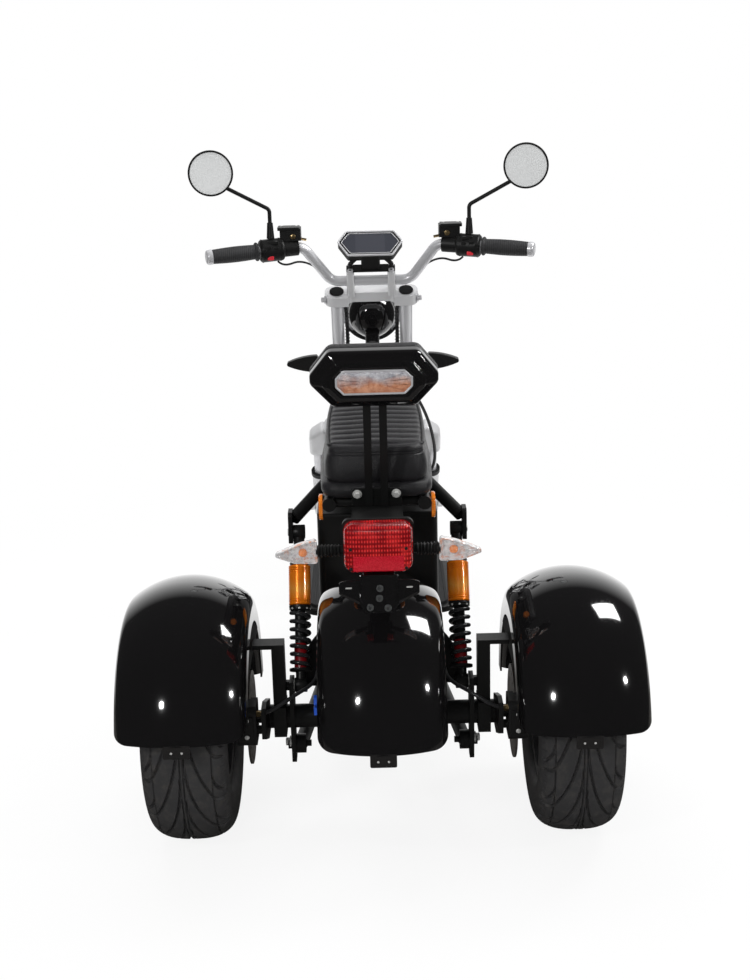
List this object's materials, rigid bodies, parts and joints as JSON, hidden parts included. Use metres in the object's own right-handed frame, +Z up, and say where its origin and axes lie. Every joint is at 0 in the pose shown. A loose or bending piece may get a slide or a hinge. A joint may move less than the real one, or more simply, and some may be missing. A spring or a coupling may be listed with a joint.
{
  "type": "motorized trike",
  "caption": "A motorized trike with fat tyres, barrel mudguards, a long ribbed seat with a lit backrest, raked silver fork, high handlebar with round mirrors and a wide display.",
  "frame": {"origin": "On the ground at the middle of the footprint: halfway along the overall length, on the centre plane, at the bottom of the tyres.", "axes": "+Y points forward from the rear axle to the front wheel, +X to the rider's right, +Z up."},
  "size_m": [0.923, 1.7851, 1.183],
  "materials": {
    "tyre_rubber": "matte",
    "black_gloss": "gloss",
    "black_satin": "satin",
    "cast_silver": "satin",
    "polished_tube": "polished",
    "rim_alloy": "satin",
    "orange_paint": "gloss",
    "red_lens": "gloss",
    "amber_lens": "gloss",
    "clear_lens": "gloss",
    "seat_leather": "satin",
    "grip_rubber": "matte",
    "black_plastic": "satin",
    "screen": "gloss",
    "mirror_glass": "polished"
  },
  "bodies": {
    "chassis": {"frame": "black_satin", "trailing_arms": "black_satin", "rear_axle": "black_satin", "rear_calipers": "black_plastic", "drive_motor": "black_satin", "shock_struts": "black_satin", "shock_canisters": "orange_paint", "mudguard_rear_left": "black_gloss", "mudguard_rear_right": "black_gloss", "mudguard_rear_centre": "black_gloss", "battery_box": "black_plastic", "footboard": "black_satin", "floor_mat": "grip_rubber", "seat_pan": "black_plastic", "seat_cushion": "seat_leather", "backrest_bars": "black_satin", "backrest_shell": "black_gloss", "backrest_lens": "amber_lens", "backrest_pad": "seat_leather", "tail_plate": "black_satin", "tail_lamp_base": "black_plastic", "tail_lamp_lens": "red_lens", "plate_bracket": "black_satin", "indicator_lenses_rear": "clear_lens", "side_reflectors": "amber_lens"},
    "steering": {"fork_yokes": "cast_silver", "fork_crown": "cast_silver", "fork_tubes": "polished_tube", "fork_caps_and_seals": "black_plastic", "fork_sliders": "cast_silver", "front_caliper": "black_plastic", "mudguard_front": "black_gloss", "handlebar": "polished_tube", "grips": "grip_rubber", "hand_controls": "black_plastic", "mirrors": "black_plastic", "mirror_glass": "mirror_glass", "display_case": "black_plastic", "display_screen": "screen", "headlamp_bucket": "black_gloss", "headlamp_rim": "polished_tube", "headlamp_lens": "clear_lens", "indicators_front": "black_plastic", "cables": "black_plastic"},
    "front_wheel": {"tyre_front": "tyre_rubber", "rim_front": "rim_alloy"},
    "rear_left_wheel": {"tyre_rear_left": "tyre_rubber", "rim_rear_left": "rim_alloy"},
    "rear_right_wheel": {"tyre_rear_right": "tyre_rubber", "rim_rear_right": "rim_alloy"}
  },
  "joints": [
    {"name": "steering_turn", "type": "hinge", "parent": "chassis", "child": "steering", "pos_m": [0, 0.46717, 0.559], "axis": [0, -0.454, 0.891], "range_deg": [-38, 38]},
    {"name": "front_wheel_spin", "type": "hinge", "parent": "steering", "child": "front_wheel", "pos_m": [0, 0.67459, 0.218], "axis": [1, 0, 0], "continuous": true},
    {"name": "rear_left_spin", "type": "hinge", "parent": "chassis", "child": "rear_left_wheel", "pos_m": [-0.3475, -0.63541, 0.218], "axis": [1, 0, 0], "continuous": true},
    {"name": "rear_right_spin", "type": "hinge", "parent": "chassis", "child": "rear_right_wheel", "pos_m": [0.3475, -0.63541, 0.218], "axis": [1, 0, 0], "continuous": true}
  ]
}
